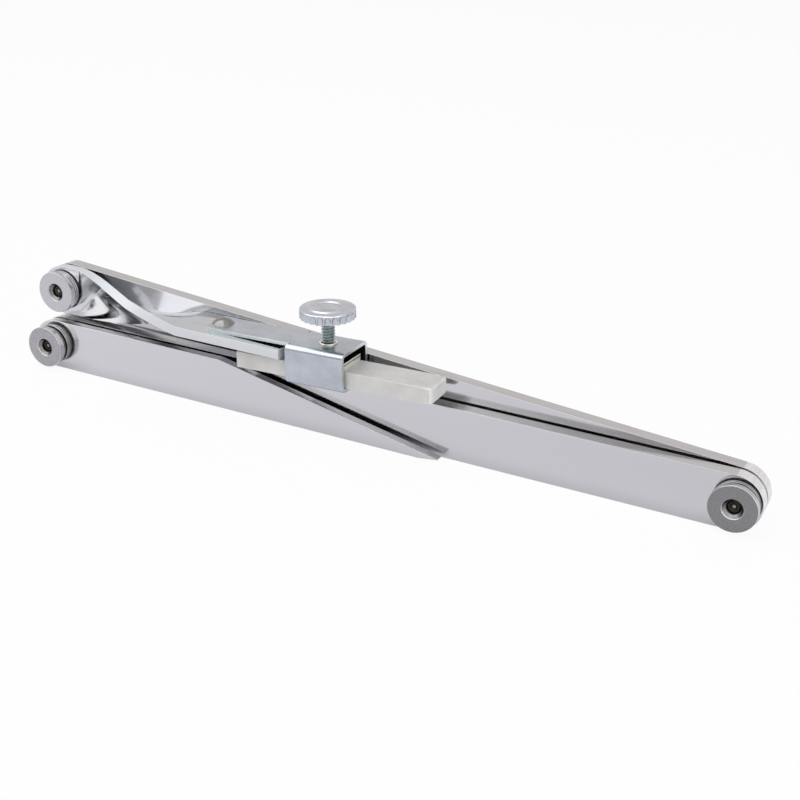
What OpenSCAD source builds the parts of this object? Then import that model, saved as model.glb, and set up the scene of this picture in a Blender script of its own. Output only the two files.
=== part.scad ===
// Radius marker: two flat bars hinged at one end, a pointer arm and a soapstone holder at the other.
// X runs along the front bar toward the fold pivot, Y points away from the viewer, Z is up.
// The origin is the centre of the front bar's lower edge. Lengths are millimetres, angles degrees.

/* [Long bars] */
// Distance between the two pivots of each long bar
pivot_spacing = 266; // [180:1:400]
// Width of both long bars
bar_width = 19.05; // [12:0.05:30]
// Thickness of both long bars
bar_thickness = 4.95; // [3:0.01:8]
// Distance from a pivot to the round end of its bar or arm
end_reach = 8.45; // [8:0.05:9.5]
// Gap left between the front bar and the end of the holder arm above it when folded
fold_gap = 1.195; // [0.5:0.005:10]

/* [Pivots] */
// Diameter of the pivot screws and of the thumbscrew
screw_diameter = 4.826; // [3:0.001:8]
// Radial play of a screw in the pieces that turn or slide on it
running_clearance = 0.05; // [0.02:0.01:0.1]
// Diameter of the screw heads behind the bars
screw_head_diameter = 9.4; // [7:0.1:14]
// Height of the screw heads
screw_head_height = 2.7; // [1.5:0.1:5]
// Width of the driver slot in the screw heads
screw_slot_width = 1.2; // [0.6:0.1:2]
// Depth of the driver slot
screw_slot_depth = 1.1; // [0.5:0.1:2]
// Bevel round the rim of the screw heads
screw_head_bevel = 0.9; // [0.3:0.1:1.5]
// Bevel at the screw's front end
screw_end_bevel = 0.4; // [0.1:0.1:0.8]
// How far a screw's end lies below the face of its disc nut
screw_end_recess = 1.6; // [0.2:0.1:2]
// Diameter of the disc nuts
disc_diameter = 15.875; // [10:0.005:19]
// Thickness of the disc nuts
disc_thickness = 2.4; // [1.5:0.1:4]
// Bevel round both rims of a disc nut
disc_bevel = 0.3; // [0.1:0.05:0.8]
// Diameter of the bevelled mouth of a disc nut's hole
disc_mouth_diameter = 6.9; // [5.5:0.1:9]
// Depth of that bevelled mouth
disc_mouth_depth = 1.2; // [0.3:0.1:1.8]
// Diameter of the flat washers
washer_diameter = 15.2; // [10:0.1:18]
// Thickness of the flat washers
washer_thickness = 0.8; // [0.5:0.05:1.6]
// Outer diameter of the split spring washers
spring_washer_diameter = 14; // [9:0.1:16]
// Inner diameter of the split spring washers
spring_washer_bore = 7.4; // [5.5:0.1:9]
// Width of the split in a spring washer
spring_washer_gap = 0.9; // [0.4:0.1:2]
// Height of the spring washer at the fold pivot
fold_spring_height = 1.27; // [0.8:0.01:3]
// Height of the spring washer at the pointer pivot
pointer_spring_height = 2.1; // [0.8:0.01:3]
// Height of the spring washer at the holder pivot
holder_spring_height = 0.6; // [0.6:0.01:3]
// Thickness of the spacer washer between the two long bars
fold_spacer_thickness = 1.2; // [0.8:0.05:3]
// Thickness of the spacer washer between the front bar and the pointer arm
pointer_spacer_thickness = 1.6; // [0.8:0.05:3]
// Thickness of the spacer washer between the rear bar and the holder arm
holder_spacer_thickness = 1.4; // [0.8:0.05:3]
// Diameter of the spacer washers
spacer_diameter = 16.8; // [10:0.1:16.9]

/* [Pointer arm] */
// Thickness of the pointer arm
pointer_thickness = 3.175; // [2:0.005:5]
// Distance from the pointer pivot to the tip
pointer_length = 166.4; // [100:0.1:240]
// Distance from the pivot to where the upper edge starts to fall to the tip
pointer_taper_start = 77.5; // [40:0.5:140]
// Height of the tip above the lower edge
pointer_tip_height = 0.9; // [0.3:0.1:4]
// Distance from the tip to where the lower edge starts to rise
pointer_belly_length = 7.5; // [2:0.5:20]
// Height of the small blunt end at the tip
pointer_tip_land = 0.25; // [0.1:0.05:1]

/* [Holder arm] */
// Thickness of the twisted holder arm
holder_thickness = 3.5; // [2:0.005:4]
// Distance from the holder pivot to where the twist starts
holder_twist_start = 8.3; // [8.2:0.1:20]
// Length of the arm's flat far end, from the end of the twist
holder_flat_length = 43.6; // [35:0.1:60]
// Distance from the holder pivot to where the arm starts to lean forward
holder_lean_start = 8.3; // [8:0.1:20]
// Distance from the holder pivot to where the arm has finished leaning forward
holder_lean_end = 42; // [25:0.5:60]
// Distance from the holder pivot to the arm's far end
holder_arm_length = 107.6; // [80:0.1:140]
// Gap between the flat end's rear edge and the rear bar
holder_side_gap = 0.3; // [0.3:0.05:3]
// How far the flat end's mid plane lies above the holder pivot
holder_rise = 0.4; // [0:0.05:3]

/* [Soapstone clamp] */
// Thickness of the folded sheet
sheet_thickness = 1.3; // [1:0.05:2.5]
// Width of the tongue that is riveted to the arm
tongue_width = 12.7; // [8:0.1:15]
// How far the tongue reaches back over the arm from the arm's far end
tongue_lap = 32.5; // [20:0.1:45]
// Length of the tongue's flat end, from its free end to where it bends up
tongue_flat_length = 8.1; // [7:0.1:20]
// How far the sloping part of the tongue and the clamp lean up
clamp_pitch = 1.9; // [0.5:0.1:4]
// Gap between the arm's far end and the channel
channel_gap = 2.1; // [1.2:0.1:6]
// Length of the folded channel
channel_length = 22.6; // [15:0.1:40]
// Outer width of the channel
channel_width = 17.8; // [14:0.1:24]
// Outer height of the channel
channel_height = 14.1; // [12:0.1:20]
// Outer radius of the channel's bends
channel_bend_radius = 2.2; // [1.6:0.1:3]
// Width of the open slot between the two turned-in lips
lip_gap = 6.4; // [3:0.1:9]
// Length of the small relief notches beside the tongue
notch_length = 1.1; // [0.5:0.1:3]
// Width of those notches
notch_width = 0.9; // [0.5:0.1:2]
// Length of the soapstone stick
soapstone_length = 76.8; // [40:0.1:120]
// Width of the soapstone stick
soapstone_width = 12.7; // [8:0.1:14]
// Thickness of the soapstone stick
soapstone_thickness = 5.9; // [4:0.1:7]
// How far the stick's rear end lies behind the tongue's bend, toward the free end
soapstone_start = 4.7; // [-20:0.1:20]
// Bevel along the stick's corners
soapstone_bevel = 0.35; // [0.1:0.05:1]
// How far the stick's outer end is out of square
soapstone_skew = 0.3; // [0:0.1:6]
// Worn-off bevel at the two corners of the stick's outer end, seen from above
soapstone_end_bevel = 0.8; // [0.2:0.1:3]
// Thickness of the pressure plate
plate_thickness = 2.7; // [2:0.1:5]
// Width of the pressure plate
plate_width = 11.6; // [8:0.1:14]
// How far the pressure plate stands out of the channel's inner end
plate_overhang = 0.8; // [0:0.1:1]
// How far the pressure plate ends inside the channel's outer end
plate_inset = 1; // [0:0.1:3]
// Depth of the screw's seat in the pressure plate
plate_seat_depth = 1.5; // [0.5:0.1:2]

/* [Rivet] */
// Diameter of the rivet's domed head
rivet_head_diameter = 8.2; // [6:0.1:12]
// Height of the rivet's domed head
rivet_head_height = 2; // [1:0.1:3]
// Diameter of the rivet's shank
rivet_shank_diameter = 4.7; // [3:0.1:6]
// Diameter of the rivet's flat head below the arm
rivet_foot_diameter = 7.6; // [5:0.1:10]
// Height of the rivet's flat head
rivet_foot_height = 0.9; // [0.5:0.1:2]
// Distance from the tongue's free end to the rivet
rivet_inset = 3.5; // [2.5:0.1:6]
// Radial play of the rivet in its holes
rivet_clearance = 0.03; // [0.01:0.01:0.1]

/* [Thumbscrew] */
// Distance from the channel's inner end to the screw's axis
screw_station = 12.3; // [8:0.1:20]
// Diameter of the threaded bush's flange above the clamp
bush_diameter = 6.5; // [6:0.1:9]
// Height of the bush's flange
bush_height = 0.5; // [0.3:0.1:3]
// Diameter of the bush's spigot in the clamp
bush_spigot_diameter = 5.9; // [5.4:0.1:6.5]
// Bevel round the bush's flange
bush_bevel = 0.2; // [0.1:0.05:0.6]
// Distance from the clamp's top to the underside of the knob
knob_lift = 9.3; // [5:0.1:20]
// Diameter of the knob
knob_diameter = 19.5; // [14:0.1:30]
// Height of the knob's fluted rim
knob_height = 3.5; // [3:0.1:8]
// Radius of the rim's rounded upper edge, cut as a bevel
knob_bevel = 0.8; // [0.3:0.1:1.5]
// Number of flutes round the rim
knob_flutes = 24; // [12:1:40]
// Depth of the flutes
knob_flute_depth = 0.75; // [0.2:0.05:1.2]
// Diameter of each flute's round cutter
knob_flute_diameter = 1.9; // [1:0.1:3]
// Outer diameter of the raised ring on the knob
knob_ring_diameter = 12.5; // [8:0.1:18]
// Height of the raised ring
knob_ring_height = 0.45; // [0.2:0.05:1.2]
// Diameter of the shallow dish inside the ring
knob_dish_diameter = 9.4; // [6:0.1:15]
// Depth of the screw's seat in the knob
knob_seat_depth = 2.4; // [1:0.1:4]
// Axial thread pitch, which sets the feed of the thumbscrew
thread_pitch = 1.058; // [0.5:0.001:2]

/* [Hidden] */
$fn = 96;
// Number of straight steps in the arm's twist
twist_steps = 26;
// Share of the twist and of the lean that eases in and out, against the share that is even
twist_ease_share = 0.2;
left_x = -pivot_spacing / 2;
right_x = pivot_spacing / 2;
pivot_z = bar_width / 2;
end_radius = bar_width / 2;
fold_rest_angle = asin((bar_width + fold_gap) / pivot_spacing);
end_setback = end_radius - end_reach;
front_face_y = -bar_thickness / 2;
back_face_y = bar_thickness / 2;
rear_front_y = back_face_y + fold_spacer_thickness;
rear_back_y = rear_front_y + bar_thickness;
pointer_back_y = front_face_y - pointer_spacer_thickness;
pointer_front_y = pointer_back_y - pointer_thickness;
holder_back_y = rear_front_y - holder_spacer_thickness;
holder_front_y = holder_back_y - holder_thickness;
holder_x = right_x - pivot_spacing * cos(fold_rest_angle);
holder_z = pivot_z + pivot_spacing * sin(fold_rest_angle);
bore_radius = screw_diameter / 2 + running_clearance;
cut_overrun = bar_thickness / 10;
washer_bore_radius = bore_radius + running_clearance;
// Heights in the holder arm's flat end, above the ground plane
flat_mid_z = holder_z + holder_rise;
flat_top_z = flat_mid_z + holder_thickness / 2;
flat_bottom_z = flat_mid_z - holder_thickness / 2;
tongue_top_z = flat_top_z + sheet_thickness;
holder_mid_y = (holder_back_y + holder_front_y) / 2;
holder_twist_end = holder_arm_length - holder_flat_length;
flat_mid_y = rear_front_y - holder_side_gap - max(end_radius, channel_width / 2);
tongue_start = holder_arm_length - tongue_lap;
tongue_bend = tongue_start + tongue_flat_length;
tongue_run = (holder_arm_length + channel_gap - tongue_bend) / cos(clamp_pitch);
rivet_x = holder_x + tongue_start + rivet_inset;
// Heights in the clamp's leaning frame, measured down from the tongue's top
channel_bottom = -channel_height;
stone_bottom = channel_bottom + sheet_thickness;
stone_top = stone_bottom + soapstone_thickness;
plate_top = stone_top + plate_thickness;
screw_x = tongue_run + screw_station;
inner_bend_radius = channel_bend_radius - sheet_thickness;
inner_width = channel_width - 2 * sheet_thickness;
screw_foot = plate_top - plate_seat_depth;
tongue_joint = sheet_thickness / 5;

// Puts its children on a pivot with their own Z pointing toward the viewer
module at_pivot(x, y, z) {
    translate([x, y, z])
        rotate([90, 0, 0])
            children();
}

// Puts its children in the clamp's leaning frame, whose origin is the top of the tongue's bend
module in_clamp() {
    translate([holder_x + tongue_bend, flat_mid_y, tongue_top_z])
        rotate([0, -clamp_pitch, 0])
            children();
}

// Outline of a long bar with its two bores, centred on its left pivot
module bar_outline() {
    difference() {
        union() {
            translate([end_setback, 0])
                circle(r = end_radius);
            translate([end_setback, -end_radius])
                square([pivot_spacing - 2 * end_setback, bar_width]);
            translate([pivot_spacing - end_setback, 0])
                circle(r = end_radius);
        }
        circle(r = bore_radius);
        translate([pivot_spacing, 0])
            circle(r = bore_radius);
    }
}

module front_bar() {
    color([0.76, 0.76, 0.78])
        at_pivot(left_x, back_face_y, pivot_z)
            linear_extrude(height = bar_thickness)
                bar_outline();
}

module rear_bar() {
    color([0.74, 0.74, 0.76])
        translate([right_x, 0, pivot_z])
            rotate([0, fold_rest_angle, 0])
                at_pivot(-pivot_spacing, rear_back_y, 0)
                    linear_extrude(height = bar_thickness)
                        bar_outline();
}

module pointer_arm() {
    color([0.76, 0.76, 0.78])
        at_pivot(left_x, pointer_back_y, pivot_z)
            linear_extrude(height = pointer_thickness)
                difference() {
                    union() {
                        translate([end_setback, 0])
                            circle(r = end_radius);
                        polygon([
                            [end_setback, -end_radius],
                            [pointer_length - pointer_belly_length, -end_radius],
                            [pointer_length, pointer_tip_height - end_radius],
                            [pointer_length, pointer_tip_height + pointer_tip_land - end_radius],
                            [pointer_taper_start, end_radius],
                            [end_setback, end_radius]
                        ]);
                    }
                    circle(r = bore_radius);
                }
}

// Share of the way from 0 to 1, easing in and out
function ease(u) = u * u * (3 - 2 * u);
function clamp_share(u) = min(1, max(0, u));
function twist_share(u) = twist_ease_share * ease(u) + (1 - twist_ease_share) * u;
function lean_share(x) = twist_share(clamp_share((x - holder_lean_start) / (holder_lean_end - holder_lean_start)));
function mix(a, b, share) = (1 - share) * a + share * b;
function corner(x, mid_y, mid_z, turn, w, t) = [
    x,
    mid_y - w * sin(turn) + t * cos(turn),
    mid_z + w * cos(turn) + t * sin(turn)
];
// The four corners of the arm's section at one station of the twist
function section(x, share) = let (
    turn = 90 * twist_share(share),
    mid_y = mix(holder_mid_y, flat_mid_y, lean_share(x)),
    mid_z = mix(0, holder_rise, lean_share(x)),
    w = end_radius,
    t = holder_thickness / 2
) [
    corner(x, mid_y, mid_z, turn, -w, -t),
    corner(x, mid_y, mid_z, turn, w, -t),
    corner(x, mid_y, mid_z, turn, w, t),
    corner(x, mid_y, mid_z, turn, -w, t)
];
function twist_x(i) = mix(holder_twist_start, holder_twist_end, i / twist_steps);
twist_points = [for (i = [0:twist_steps]) each section(twist_x(i), i / twist_steps)];
twist_sides = [
    for (i = [0:twist_steps - 1])
        for (j = [0:3])
            for (part = [0, 1])
                part == 0
                    ? [4 * i + j, 4 * i + (j + 1) % 4, 4 * (i + 1) + (j + 1) % 4]
                    : [4 * i + j, 4 * (i + 1) + (j + 1) % 4, 4 * (i + 1) + j]
];
twist_ends = [
    [3, 2, 1, 0],
    [4 * twist_steps, 4 * twist_steps + 1, 4 * twist_steps + 2, 4 * twist_steps + 3]
];

module holder_arm() {
    color([0.74, 0.76, 0.78])
        difference() {
            translate([holder_x, 0, holder_z])
                union() {
                    at_pivot(0, holder_back_y, 0)
                        linear_extrude(height = holder_thickness)
                            union() {
                                translate([end_setback, 0])
                                    circle(r = end_radius);
                                translate([end_setback, -end_radius])
                                    square([holder_twist_start - end_setback, bar_width]);
                            }
                    polyhedron(points = twist_points, faces = concat(twist_sides, twist_ends));
                    translate([holder_twist_end, flat_mid_y - end_radius, holder_rise - holder_thickness / 2])
                        cube([holder_arm_length - holder_twist_end, bar_width, holder_thickness]);
                }
            at_pivot(holder_x, holder_back_y + cut_overrun, holder_z)
                cylinder(r = bore_radius, h = holder_thickness + 2 * cut_overrun);
            translate([rivet_x, flat_mid_y, flat_bottom_z - cut_overrun])
                cylinder(r = rivet_shank_diameter / 2 + rivet_clearance, h = holder_thickness + 2 * cut_overrun);
        }
}

// A rectangle with round corners, centred on Y and standing on its lower edge
module rounded_box_outline(width, height, radius) {
    union() {
        translate([-width / 2 + radius, 0])
            square([width - 2 * radius, height]);
        translate([-width / 2, radius])
            square([width, height - 2 * radius]);
        for (side = [-1, 1])
            for (level = [radius, height - radius])
                translate([side * (width / 2 - radius), level])
                    circle(r = radius);
    }
}

// The channel's section: a closed box with a slot between its two lips
module channel_outline() {
    difference() {
        rounded_box_outline(channel_width, channel_height, channel_bend_radius);
        translate([0, sheet_thickness])
            rounded_box_outline(inner_width, channel_height - 2 * sheet_thickness, inner_bend_radius);
        translate([-lip_gap / 2, -cut_overrun])
            square([lip_gap, sheet_thickness + 2 * cut_overrun]);
    }
}

module clamp_saddle() {
    color([0.66, 0.7, 0.73])
        difference() {
            union() {
                translate([holder_x + tongue_start, flat_mid_y - tongue_width / 2, flat_top_z])
                    cube([tongue_bend - tongue_start, tongue_width, sheet_thickness]);
                in_clamp() {
                    translate([-tongue_joint, -tongue_width / 2, -sheet_thickness])
                        cube([tongue_run + tongue_joint + sheet_thickness, tongue_width, sheet_thickness]);
                    translate([tongue_run, 0, channel_bottom])
                        rotate([90, 0, 90])
                            linear_extrude(height = channel_length)
                                channel_outline();
                }
            }
            translate([rivet_x, flat_mid_y, flat_top_z - cut_overrun])
                cylinder(r = rivet_shank_diameter / 2 + rivet_clearance, h = sheet_thickness + 2 * cut_overrun);
            in_clamp() {
                translate([screw_x, 0, -sheet_thickness - cut_overrun])
                    cylinder(r = bush_spigot_diameter / 2 + rivet_clearance, h = sheet_thickness + 2 * cut_overrun);
                for (side = [-1, 1])
                    translate([
                        tongue_run - cut_overrun,
                        side * (tongue_width + notch_width) / 2 - notch_width / 2,
                        -sheet_thickness - cut_overrun
                    ])
                        cube([notch_length + cut_overrun, notch_width, sheet_thickness + 2 * cut_overrun]);
            }
        }
}

module clamp_rivet() {
    dome_radius = (pow(rivet_head_diameter / 2, 2) + pow(rivet_head_height, 2)) / (2 * rivet_head_height);
    color([0.8, 0.8, 0.79])
        translate([rivet_x, flat_mid_y, 0])
            union() {
                translate([0, 0, flat_bottom_z - rivet_foot_height])
                    cylinder(r = rivet_foot_diameter / 2, h = rivet_foot_height);
                translate([0, 0, flat_bottom_z])
                    cylinder(r = rivet_shank_diameter / 2, h = holder_thickness + sheet_thickness);
                intersection() {
                    translate([0, 0, tongue_top_z])
                        cylinder(r = rivet_head_diameter / 2, h = rivet_head_height);
                    translate([0, 0, tongue_top_z + rivet_head_height - dome_radius])
                        sphere(r = dome_radius);
                }
            }
}

module clamp_bush() {
    color([0.7, 0.72, 0.74])
        in_clamp()
            translate([screw_x, 0, 0])
                rotate_extrude()
                    polygon([
                        [bore_radius, -sheet_thickness],
                        [bush_spigot_diameter / 2, -sheet_thickness],
                        [bush_spigot_diameter / 2, 0],
                        [bush_diameter / 2, 0],
                        [bush_diameter / 2, bush_height - bush_bevel],
                        [bush_diameter / 2 - bush_bevel, bush_height],
                        [bore_radius, bush_height]
                    ]);
}

module pressure_plate() {
    color([0.62, 0.65, 0.68])
        in_clamp()
            difference() {
                translate([tongue_run - plate_overhang, -plate_width / 2, stone_top])
                    cube([channel_length + plate_overhang - plate_inset, plate_width, plate_thickness]);
                translate([screw_x, 0, screw_foot])
                    cylinder(r = bore_radius, h = plate_seat_depth + cut_overrun);
            }
}

module soapstone() {
    color([0.88, 0.89, 0.85])
        in_clamp()
            translate([soapstone_start, 0, stone_bottom])
                intersection() {
                    rotate([90, 0, 90])
                        linear_extrude(height = soapstone_length)
                            stone_section();
                    linear_extrude(height = soapstone_thickness)
                        stone_outline();
                }
}

// The stick seen from above, with the worn corners of its outer end
module stone_outline() {
    half = soapstone_width / 2;
    rear_corner = soapstone_length - soapstone_skew;
    polygon([
        [0, -half],
        [soapstone_length - soapstone_end_bevel, -half],
        [soapstone_length, -half + soapstone_end_bevel],
        [rear_corner, half - soapstone_end_bevel],
        [rear_corner - soapstone_end_bevel, half],
        [0, half]
    ]);
}

// The stick's bevelled section
module stone_section() {
    half = soapstone_width / 2;
    polygon([
        [-half + soapstone_bevel, 0],
        [half - soapstone_bevel, 0],
        [half, soapstone_bevel],
        [half, soapstone_thickness - soapstone_bevel],
        [half - soapstone_bevel, soapstone_thickness],
        [-half + soapstone_bevel, soapstone_thickness],
        [-half, soapstone_thickness - soapstone_bevel],
        [-half, soapstone_bevel]
    ]);
}

module thumbscrew_screw() {
    color([0.68, 0.71, 0.74])
        in_clamp()
            translate([screw_x, 0, screw_foot])
                cylinder(r = screw_diameter / 2, h = knob_lift + knob_seat_depth - screw_foot);
}

module thumbscrew_knob() {
    rim = knob_diameter / 2;
    flute_centre = rim - knob_flute_depth + knob_flute_diameter / 2;
    color([0.7, 0.73, 0.76])
        in_clamp()
            translate([screw_x, 0, knob_lift])
                difference() {
                    rotate_extrude()
                        polygon([
                            [0, knob_seat_depth],
                            [screw_diameter / 2 + rivet_clearance, knob_seat_depth],
                            [screw_diameter / 2 + rivet_clearance, 0],
                            [rim - knob_bevel / 2, 0],
                            [rim, knob_bevel / 2],
                            [rim, knob_height - knob_bevel],
                            [rim - knob_bevel, knob_height],
                            [knob_ring_diameter / 2 + knob_ring_height, knob_height],
                            [knob_ring_diameter / 2, knob_height + knob_ring_height],
                            [knob_dish_diameter / 2 + knob_ring_height, knob_height + knob_ring_height],
                            [knob_dish_diameter / 2, knob_height],
                            [0, knob_height]
                        ]);
                    for (i = [0:knob_flutes - 1])
                        rotate([0, 0, i * 360 / knob_flutes])
                            translate([flute_centre, 0, -cut_overrun])
                                cylinder(r = knob_flute_diameter / 2, h = knob_height + 2 * cut_overrun);
                }
}

// A slotted pan-head screw: head behind its seat, shank toward the viewer
module pivot_screw(grip) {
    head = screw_head_diameter / 2;
    shank = screw_diameter / 2;
    difference() {
        rotate_extrude()
            polygon([
                [0, -screw_head_height],
                [head - screw_head_bevel, -screw_head_height],
                [head, -screw_head_height + screw_head_bevel],
                [head, 0],
                [shank, 0],
                [shank, grip - screw_end_bevel],
                [shank - screw_end_bevel, grip],
                [0, grip]
            ]);
        translate([-head - cut_overrun, -screw_slot_width / 2, -screw_head_height - cut_overrun])
            cube([2 * (head + cut_overrun), screw_slot_width, screw_slot_depth + cut_overrun]);
    }
}

module flat_ring(outer, height) {
    difference() {
        cylinder(r = outer / 2, h = height);
        translate([0, 0, -cut_overrun])
            cylinder(r = washer_bore_radius, h = height + 2 * cut_overrun);
    }
}

module split_ring(height) {
    difference() {
        cylinder(r = spring_washer_diameter / 2, h = height);
        translate([0, 0, -cut_overrun])
            cylinder(r = spring_washer_bore / 2, h = height + 2 * cut_overrun);
        rotate([0, 0, 135])
            translate([0, -spring_washer_gap / 2, -cut_overrun])
                cube([spring_washer_diameter, spring_washer_gap, height + 2 * cut_overrun]);
    }
}

module disc_nut() {
    rim = disc_diameter / 2;
    mouth = disc_mouth_diameter / 2;
    rotate_extrude()
        polygon([
            [bore_radius, 0],
            [rim - disc_bevel, 0],
            [rim, disc_bevel],
            [rim, disc_thickness - disc_bevel],
            [rim - disc_bevel, disc_thickness],
            [mouth, disc_thickness],
            [bore_radius, disc_thickness - disc_mouth_depth]
        ]);
}

function stack_height(spring) = washer_thickness + spring + disc_thickness;

module fold_screw() {
    color([0.62, 0.62, 0.6])
        at_pivot(right_x, rear_back_y, pivot_z)
            pivot_screw(rear_back_y - front_face_y + stack_height(fold_spring_height) - screw_end_recess);
}

module fold_spacer() {
    color([0.8, 0.8, 0.8])
        at_pivot(right_x, rear_front_y, pivot_z)
            flat_ring(spacer_diameter, fold_spacer_thickness);
}

module fold_flat_washer() {
    color([0.7, 0.7, 0.7])
        at_pivot(right_x, front_face_y, pivot_z)
            flat_ring(washer_diameter, washer_thickness);
}

module fold_spring_washer() {
    color([0.5, 0.5, 0.5])
        at_pivot(right_x, front_face_y - washer_thickness, pivot_z)
            split_ring(fold_spring_height);
}

module fold_disc_nut() {
    color([0.62, 0.62, 0.62])
        at_pivot(right_x, front_face_y - washer_thickness - fold_spring_height, pivot_z)
            disc_nut();
}

module pointer_screw() {
    color([0.62, 0.62, 0.6])
        at_pivot(left_x, back_face_y, pivot_z)
            pivot_screw(back_face_y - pointer_front_y + stack_height(pointer_spring_height) - screw_end_recess);
}

module pointer_spacer() {
    color([0.8, 0.8, 0.8])
        at_pivot(left_x, front_face_y, pivot_z)
            flat_ring(spacer_diameter, pointer_spacer_thickness);
}

module pointer_flat_washer() {
    color([0.7, 0.7, 0.7])
        at_pivot(left_x, pointer_front_y, pivot_z)
            flat_ring(washer_diameter, washer_thickness);
}

module pointer_spring_washer() {
    color([0.5, 0.5, 0.5])
        at_pivot(left_x, pointer_front_y - washer_thickness, pivot_z)
            split_ring(pointer_spring_height);
}

module pointer_disc_nut() {
    color([0.62, 0.62, 0.62])
        at_pivot(left_x, pointer_front_y - washer_thickness - pointer_spring_height, pivot_z)
            disc_nut();
}

module holder_screw() {
    color([0.62, 0.62, 0.6])
        at_pivot(holder_x, rear_back_y, holder_z)
            pivot_screw(rear_back_y - holder_front_y + stack_height(holder_spring_height) - screw_end_recess);
}

module holder_spacer() {
    color([0.8, 0.8, 0.8])
        at_pivot(holder_x, rear_front_y, holder_z)
            flat_ring(spacer_diameter, holder_spacer_thickness);
}

module holder_flat_washer() {
    color([0.7, 0.7, 0.7])
        at_pivot(holder_x, holder_front_y, holder_z)
            flat_ring(washer_diameter, washer_thickness);
}

module holder_spring_washer() {
    color([0.5, 0.5, 0.5])
        at_pivot(holder_x, holder_front_y - washer_thickness, holder_z)
            split_ring(holder_spring_height);
}

module holder_disc_nut() {
    color([0.62, 0.62, 0.62])
        at_pivot(holder_x, holder_front_y - washer_thickness - holder_spring_height, holder_z)
            disc_nut();
}

front_bar();
rear_bar();
pointer_arm();
holder_arm();
clamp_saddle();
clamp_rivet();
clamp_bush();
pressure_plate();
soapstone();
thumbscrew_screw();
thumbscrew_knob();
fold_screw();
fold_spacer();
fold_flat_washer();
fold_spring_washer();
fold_disc_nut();
pointer_screw();
pointer_spacer();
pointer_flat_washer();
pointer_spring_washer();
pointer_disc_nut();
holder_screw();
holder_spacer();
holder_flat_washer();
holder_spring_washer();
holder_disc_nut();
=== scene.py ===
# %% [markdown]
# # Radius marker
# This is a folding layout tool. Two long flat bars are hinged at one end. A pointed arm turns at the free end
# of the front bar, and a twisted arm with a screw clamp turns at the free end of the rear bar. The clamp
# holds a flat soapstone stick, which draws the radius while the point stands on the centre.
# The solid model comes first and stays where it is. Every piece below is modelled over its solid, at the same
# place and size, with the small bevels, threads and wear that the solid leaves out.

import math

import bmesh
import bpy
from mathutils import Matrix, Vector


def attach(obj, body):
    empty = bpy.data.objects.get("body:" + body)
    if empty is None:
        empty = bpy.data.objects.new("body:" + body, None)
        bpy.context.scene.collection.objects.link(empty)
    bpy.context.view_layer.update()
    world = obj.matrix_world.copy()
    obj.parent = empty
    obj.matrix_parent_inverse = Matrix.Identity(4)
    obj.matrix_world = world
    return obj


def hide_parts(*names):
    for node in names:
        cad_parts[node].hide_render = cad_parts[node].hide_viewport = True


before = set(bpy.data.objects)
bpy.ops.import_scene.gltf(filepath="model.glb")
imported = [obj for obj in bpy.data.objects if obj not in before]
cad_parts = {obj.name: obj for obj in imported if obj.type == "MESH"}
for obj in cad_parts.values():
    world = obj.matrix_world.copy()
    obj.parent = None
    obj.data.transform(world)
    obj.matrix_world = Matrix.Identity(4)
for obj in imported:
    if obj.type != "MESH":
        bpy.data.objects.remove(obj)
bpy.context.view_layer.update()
MM = 0.001
print("solid nodes:", len(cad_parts))

# %% [markdown]
# ## The camera
# The photo looks down on the tool from the front left. A camera could be aimed by eye, but here its place,
# turn and lens were worked out from the straight edges of the bars and the round faces of the disc nuts, so
# the render can be laid over the photo. The three columns are the camera's right, up and backward directions.

# %% Camera
bpy.ops.object.select_all(action="DESELECT")
bpy.ops.object.camera_add()
camera = bpy.context.object
camera.name = "camera"
right = (0.888116, 0.458688, 0.029266)
up = (-0.209772, 0.34786, 0.913777)
back = (0.408958, -0.817679, 0.405159)
place = (0.196621, -0.363388, 0.196438)
camera.matrix_world = Matrix([[right[i], up[i], back[i], place[i]] for i in range(3)] + [[0, 0, 0, 1]])
camera.data.sensor_width = 36
camera.data.lens = 57.93
camera.data.clip_start = 0.01
bpy.context.scene.camera = camera
print("camera lens", camera.data.lens, "mm")

# %% [markdown]
# ## Working helpers
# The same few moves come back for every piece: start with nothing selected, choose faces or edges by their
# place, and finish with a small bevel and clean shading. They could be typed out each time, but short helpers
# keep each piece's own cell to what is special about it.


# %% Selecting by place
def clear_selection():
    """Leaves edit mode and deselects every object."""
    if bpy.context.mode != "OBJECT":
        bpy.ops.object.mode_set(mode="OBJECT")
    bpy.ops.object.select_all(action="DESELECT")


def pick(piece):
    """Selects one piece alone."""
    clear_selection()
    piece.select_set(True)
    bpy.context.view_layer.objects.active = piece


def choose_all():
    """Selects all of the open piece."""
    bpy.ops.mesh.select_all(action="SELECT")


def open_piece(name):
    """Names the new primitive and opens it in edit mode with all of it selected."""
    piece = bpy.context.object
    piece.name = name
    piece.data.name = name
    bpy.ops.object.mode_set(mode="EDIT")
    bpy.ops.mesh.select_mode(type="VERT")
    choose_all()
    return piece


def choose(kind, test):
    """Selects the vertices, edges or faces of the open piece that pass a test, and counts them."""
    bpy.ops.mesh.select_mode(type=kind)
    bpy.ops.mesh.select_all(action="DESELECT")
    cage = bmesh.from_edit_mesh(bpy.context.object.data)
    parts = {"VERT": cage.verts, "EDGE": cage.edges, "FACE": cage.faces}[kind]
    chosen = [part for part in parts if test(part)]
    for part in chosen:
        part.select = True
    cage.select_flush_mode()
    bmesh.update_edit_mesh(bpy.context.object.data)
    return len(chosen)


def middle(part):
    """The middle of an edge or a face, in mm."""
    if hasattr(part, "calc_center_median"):
        return part.calc_center_median() / MM
    return (part.verts[0].co + part.verts[1].co) / (2 * MM)


# %% Moving and cutting in edit mode
weld = 1e-6


def move_by(x, y, z):
    """Moves what is selected, in mm."""
    bpy.ops.transform.translate(value=(x * MM, y * MM, z * MM))


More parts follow.
